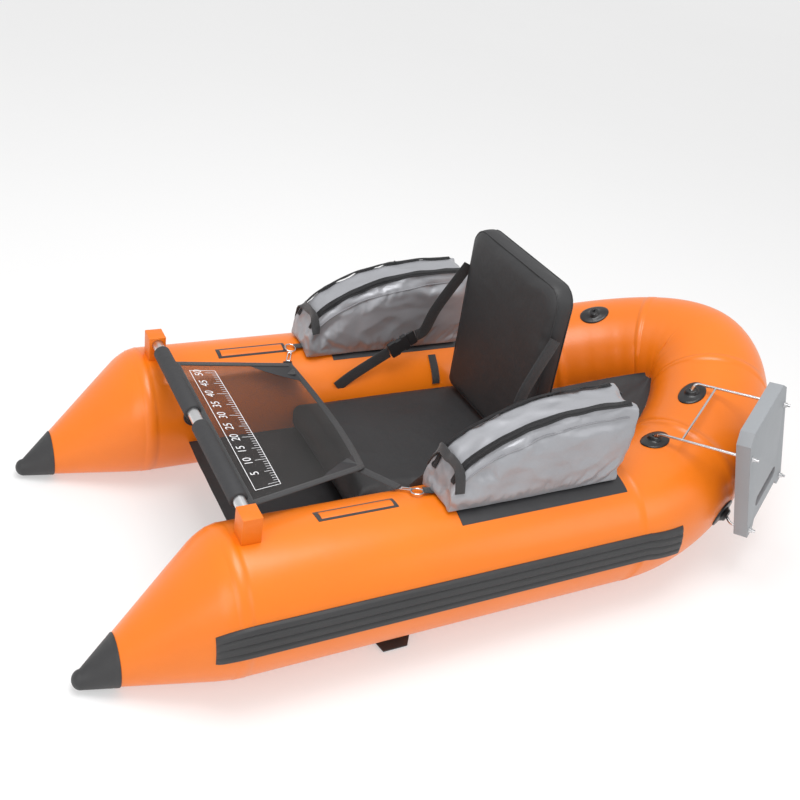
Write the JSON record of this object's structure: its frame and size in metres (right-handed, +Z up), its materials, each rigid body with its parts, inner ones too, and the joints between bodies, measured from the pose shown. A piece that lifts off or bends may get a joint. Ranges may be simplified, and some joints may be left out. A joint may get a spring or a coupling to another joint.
{
  "type": "inflatable float boat",
  "caption": "Inflatable U-shaped one-person float boat with conical bows, seat and folding backrest, side bags, mesh apron on a cross bar and a transom plate.",
  "frame": {"origin": "middle of the whole object's box, on the ground", "axes": "+X towards the bow tips, +Y to port, +Z up"},
  "size_m": [2.1272, 1.1486, 0.772],
  "materials": {
    "hull_fabric": "satin",
    "black_rubber": "matte",
    "chamber_fabric": "matte",
    "floor_fabric": "satin",
    "seat_fabric": "satin",
    "webbing": "woven",
    "black_plastic": "satin",
    "aluminium_tube": "brushed",
    "foam": "matte",
    "apron_net": "mesh",
    "steel_wire": "polished",
    "bag_fabric": "coated nylon",
    "zip_metal": "satin",
    "grey_plastic": "satin",
    "label_fabric": "matte"
  },
  "bodies": {
    "hull": {"port_tube": "hull_fabric", "starboard_tube": "hull_fabric", "stern_baffle": "chamber_fabric", "port_nose_cap": "black_rubber", "starboard_nose_cap": "black_rubber", "port_rub_strake": "black_rubber", "starboard_rub_strake": "black_rubber", "port_skeg": "black_rubber", "starboard_skeg": "black_rubber", "floor_sheet": "floor_fabric", "seat_cushion": "seat_fabric", "seat_valve": "black_plastic", "port_back_stay": "webbing", "starboard_back_stay": "webbing", "port_stay_buckle": "black_plastic", "starboard_stay_buckle": "black_plastic", "port_bar_socket": "hull_fabric", "starboard_bar_socket": "hull_fabric", "apron_mesh": "apron_net", "apron_straps": "webbing", "port_snap_hook": "steel_wire", "starboard_snap_hook": "steel_wire", "port_bag_base": "black_rubber", "starboard_bag_base": "black_rubber", "port_bag": "bag_fabric", "starboard_bag": "bag_fabric", "port_zip_sliders": "zip_metal", "starboard_zip_sliders": "zip_metal", "port_bag_ring": "steel_wire", "starboard_bag_ring": "steel_wire", "port_carry_handle": "hull_fabric", "starboard_carry_handle": "hull_fabric", "port_valve": "black_plastic", "starboard_valve": "black_plastic", "port_upper_pads": "black_rubber", "starboard_upper_pads": "black_rubber", "port_lower_pads": "black_rubber", "upper_rod_frame": "steel_wire", "lower_rods": "steel_wire", "transom_plate": "grey_plastic", "plate_nuts": "steel_wire", "care_label": "label_fabric", "strap_tails": "webbing"},
    "backrest": {"backrest": "seat_fabric", "backrest_valve": "black_plastic"},
    "cross_bar": {"cross_bar": "aluminium_tube", "bar_end_plugs": "black_plastic", "port_foam_sleeve": "foam", "starboard_foam_sleeve": "foam"},
    "port_valve_cap": {"port_valve_cap": "black_plastic"},
    "port_top_zip_pull": {"port_top_zip_pull": "zip_metal"},
    "port_pocket_zip_pull": {"port_pocket_zip_pull": "zip_metal"},
    "port_buckle_latch": {"port_buckle_latch": "black_plastic"},
    "starboard_valve_cap": {"starboard_valve_cap": "black_plastic"},
    "starboard_top_zip_pull": {"starboard_top_zip_pull": "zip_metal"},
    "starboard_pocket_zip_pull": {"starboard_pocket_zip_pull": "zip_metal"},
    "starboard_buckle_latch": {"starboard_buckle_latch": "black_plastic"}
  },
  "joints": [
    {"name": "backrest_fold", "type": "hinge", "parent": "hull", "child": "backrest", "pos_m": [-0.12441, -0.01003, 0.2503], "axis": [0, 1, 0], "range_deg": [0, 76], "deforming": ["port_back_stay", "starboard_back_stay"]},
    {"name": "bar_turn", "type": "hinge", "parent": "hull", "child": "cross_bar", "pos_m": [0.69559, -0.01003, 0.385], "axis": [0, 1, 0], "range_deg": [-90, 90]},
    {"name": "port_valve_cap_turn", "type": "hinge", "parent": "hull", "child": "port_valve_cap", "pos_m": [0.63359, 0.21223, 0.23534], "axis": [0, -0.9272, 0.3746], "range_deg": [0, 110]},
    {"name": "port_top_zip_pull_swing", "type": "hinge", "parent": "hull", "child": "port_top_zip_pull", "pos_m": [-0.06371, 0.31597, 0.55754], "axis": [0, -1, 0], "range_deg": [0, 150]},
    {"name": "port_pocket_zip_pull_swing", "type": "hinge", "parent": "hull", "child": "port_pocket_zip_pull", "pos_m": [-0.06371, 0.40197, 0.55754], "axis": [0, -1, 0], "range_deg": [0, 150]},
    {"name": "port_buckle_release", "type": "slide", "parent": "hull", "child": "port_buckle_latch", "axis": [-0.8597, 0, 0.5108], "range_m": [0, 0.026]},
    {"name": "starboard_valve_cap_turn", "type": "hinge", "parent": "hull", "child": "starboard_valve_cap", "pos_m": [0.63359, -0.23229, 0.23534], "axis": [0, 0.9272, 0.3746], "range_deg": [0, 110]},
    {"name": "starboard_top_zip_pull_swing", "type": "hinge", "parent": "hull", "child": "starboard_top_zip_pull", "pos_m": [-0.00871, -0.33603, 0.55754], "axis": [0, -1, 0], "range_deg": [0, 150]},
    {"name": "starboard_pocket_zip_pull_swing", "type": "hinge", "parent": "hull", "child": "starboard_pocket_zip_pull", "pos_m": [-0.00871, -0.42203, 0.55754], "axis": [0, -1, 0], "range_deg": [0, 150]},
    {"name": "starboard_buckle_release", "type": "slide", "parent": "hull", "child": "starboard_buckle_latch", "axis": [-0.8597, 0, 0.5108], "range_m": [0, 0.026]}
  ]
}
